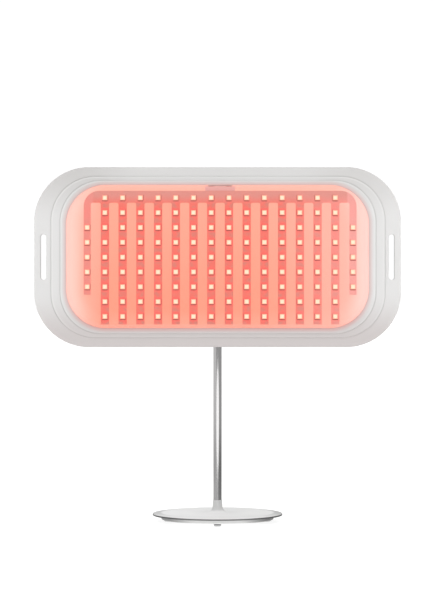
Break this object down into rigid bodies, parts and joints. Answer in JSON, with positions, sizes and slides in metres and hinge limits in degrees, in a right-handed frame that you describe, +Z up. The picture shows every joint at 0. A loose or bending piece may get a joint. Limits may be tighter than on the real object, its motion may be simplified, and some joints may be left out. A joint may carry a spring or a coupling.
{
  "type": "light therapy lamp",
  "caption": "Flat light therapy panel with rounded ends and a glowing window of LEDs, hooked on a tilting, swivelling head on a thin post with a round weighted base.",
  "frame": {"origin": "on the floor under the centre of the round base, which is the bottom centre of the lamp's box", "axes": "+Z up along the post, -Y towards the user, out of the lit side, +X to the right as the user sees it"},
  "size_m": [0.38, 0.1362, 0.3702],
  "materials": {
    "frame_silicone": "matt moulded silicone, warm white",
    "window_silicone": "clear silicone, lit pink from behind",
    "flex_board": "flexible circuit, copper pink under red light",
    "led_package": "lit LED face",
    "backing_silicone": "matt white sheet",
    "back_silicone": "matt moulded silicone, warm white",
    "clamp_steel": "pressed sheet",
    "pod_plastic": "fine satin moulding",
    "pod_screw_steel": "turned",
    "battery_wrap": "silver pouch film",
    "lead_insulation": "wire insulation",
    "circuit_board": "solder mask",
    "board_screw_steel": "turned",
    "connector_plastic": "moulded",
    "socket_steel": "drawn shell",
    "switch_plastic": "moulded",
    "lens_plastic": "clear light guide",
    "button_plastic": "satin moulding",
    "dock_plastic": "fine satin moulding",
    "dock_screw_steel": "turned",
    "bracket_metal": "satin warm white powder coat",
    "pin_steel": "turned",
    "nut_steel": "machined hexagon",
    "washer_plastic": "friction washer",
    "head_metal": "satin warm white powder coat",
    "bush_plastic": "low-friction sleeve",
    "grub_steel": "blackened",
    "spigot_steel": "turned",
    "post_chrome": "polished tube",
    "plug_brass": "turned",
    "base_paint": "satin warm white powder coat",
    "weight_steel": "plain plate",
    "pan_plastic": "fine satin moulding",
    "pan_screw_steel": "turned",
    "base_washer_steel": "pressed",
    "base_screw_steel": "turned",
    "foot_rubber": "matt dark grey"
  },
  "bodies": {
    "stand": {"base_cover": "base_paint", "base_weight": "weight_steel", "base_pan": "pan_plastic", "pan_screws": "pan_screw_steel", "base_washer": "base_washer_steel", "base_screw": "base_screw_steel", "rubber_feet": "foot_rubber", "post_tube": "post_chrome", "post_plug": "plug_brass", "post_spigot": "spigot_steel"},
    "head": {"swivel_head": "head_metal", "swivel_bush": "bush_plastic", "head_grub_screw": "grub_steel"},
    "bracket": {"dock_plate": "bracket_metal", "hinge_pin": "pin_steel", "hinge_nut": "nut_steel", "hinge_washers": "washer_plastic"},
    "panel": {"front_frame": "frame_silicone", "window_sheet": "window_silicone", "led_board": "flex_board", "led_chips": "led_package", "backing_sheet": "backing_silicone", "back_sheet": "back_silicone", "pod_clamp": "clamp_steel", "pod_case": "pod_plastic", "pod_screws": "pod_screw_steel", "battery_pack": "battery_wrap", "battery_leads": "lead_insulation", "control_board": "circuit_board", "board_screws": "board_screw_steel", "flex_connector": "connector_plastic", "usb_c_socket": "socket_steel", "tact_switch": "switch_plastic", "indicator_lenses": "lens_plastic", "dock_socket": "dock_plastic", "dock_screws": "dock_screw_steel"},
    "button": {"power_button": "button_plastic"}
  },
  "joints": [
    {"name": "swivel", "type": "hinge", "parent": "stand", "child": "head", "pos_m": [0, 0, 0.228], "axis": [0, 0, 1], "range_deg": [-90, 90]},
    {"name": "tilt", "type": "hinge", "parent": "head", "child": "bracket", "pos_m": [0, 0, 0.25095], "axis": [-1, 0, 0], "range_deg": [-10, 35]},
    {"name": "panel_lift", "type": "slide", "parent": "bracket", "child": "panel", "axis": [0, 0, 1], "range_m": [0, 0.042]},
    {"name": "power_press", "type": "slide", "parent": "panel", "child": "button", "axis": [0, -1, 0], "range_m": [0, 0.0008], "stiffness_N_per_m": 1500, "springref_m": -0.0006}
  ]
}
